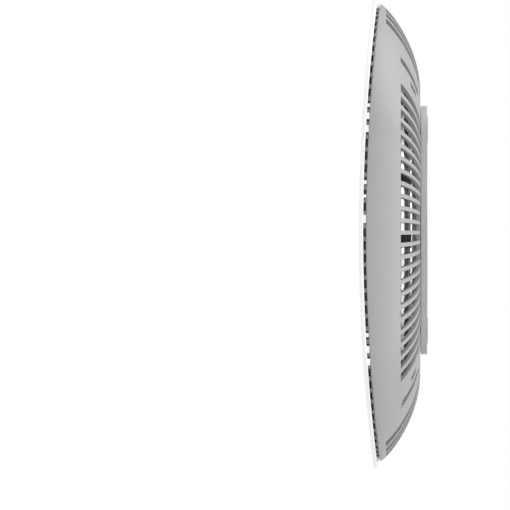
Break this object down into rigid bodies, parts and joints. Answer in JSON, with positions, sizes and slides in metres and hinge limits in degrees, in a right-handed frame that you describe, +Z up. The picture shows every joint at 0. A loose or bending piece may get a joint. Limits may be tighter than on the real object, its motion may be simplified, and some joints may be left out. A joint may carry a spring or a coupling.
{
  "type": "mesh wifi node",
  "caption": "Flat square mesh wifi node: arched white cover floating over a vented grey shell with radial cooling slots, on a round twist-lock wall bracket.",
  "frame": {"origin": "centre of the wall bracket's back face, on the wall plane", "axes": "+X points out of the wall bracket's back, towards the wall; the front cover faces -X; +Z is up along the unit's top edge; the port side faces +Y"},
  "size_m": [0.0293, 0.2018, 0.2018],
  "materials": {
    "cover_white": "satin white moulded cover",
    "shell_grey": "fine textured light grey moulding",
    "dark_plastic": "black moulded plastic",
    "foot_plastic": "textured mid grey moulding",
    "foot_rubber": "soft dark rubber",
    "zinc_steel": "zinc plated sheet steel",
    "aluminium_sheet": "bright rolled sheet",
    "aerial_metal": "stamped metal tab",
    "tinned_sheet": "tin plated sheet",
    "circuit_board": "black solder mask",
    "thermal_silicone": "soft blue grey gap filler",
    "clear_acrylic": "clear moulded light guide",
    "control_plastic": "smooth grey control caps",
    "tact_plastic": "switch body",
    "label_film": "plain film, no print"
  },
  "bodies": {
    "bracket": {"wall_bracket": "zinc_steel"},
    "housing": {"front_cover": "cover_white", "rear_shell": "shell_grey", "vent_ring": "dark_plastic", "chassis": "dark_plastic", "port_tray": "dark_plastic", "switch_housing": "dark_plastic", "dc_jack": "dark_plastic", "foot_frame": "foot_plastic", "foot_pad_1": "foot_rubber", "foot_pad_2": "foot_rubber", "foot_pad_3": "foot_rubber", "foot_pad_4": "foot_rubber", "edge_damper_1": "foot_rubber", "edge_damper_2": "foot_rubber", "shell_screw_1": "zinc_steel", "shell_screw_2": "zinc_steel", "shell_screw_3": "zinc_steel", "shell_screw_4": "zinc_steel", "heat_spreader": "aluminium_sheet", "antenna_1": "aerial_metal", "antenna_2": "aerial_metal", "antenna_3": "aerial_metal", "antenna_4": "aerial_metal", "antenna_5": "aerial_metal", "antenna_6": "aerial_metal", "rear_shield": "tinned_sheet", "soc_can": "tinned_sheet", "radio_can_low": "tinned_sheet", "radio_can_high": "tinned_sheet", "lan_jack_1": "tinned_sheet", "lan_jack_2": "tinned_sheet", "main_pcb": "circuit_board", "thermal_pad": "thermal_silicone", "light_pipe": "clear_acrylic", "pair_tact": "tact_plastic", "reset_tact": "tact_plastic", "label_plate": "label_film"},
    "power_rocker": {"power_rocker": "control_plastic"},
    "pair_button": {"pair_button": "control_plastic"},
    "reset_button": {"reset_button": "control_plastic"}
  },
  "joints": [
    {"name": "bracket_twist", "type": "hinge", "parent": "bracket", "child": "housing", "pos_m": [0, 0, 0], "axis": [1, 0, 0], "range_deg": [0, 40]},
    {"name": "power_rocker_tilt", "type": "hinge", "parent": "housing", "child": "power_rocker", "pos_m": [-0.0182, 0.078, -0.0205], "axis": [-1, 0, 0], "range_deg": [0, 16]},
    {"name": "pair_button_press", "type": "slide", "parent": "housing", "child": "pair_button", "axis": [0, -1, 0], "range_m": [0, 0.0008], "stiffness_N_per_m": 900},
    {"name": "reset_button_press", "type": "slide", "parent": "housing", "child": "reset_button", "axis": [0, -1, 0], "range_m": [0, 0.0005], "stiffness_N_per_m": 900}
  ]
}
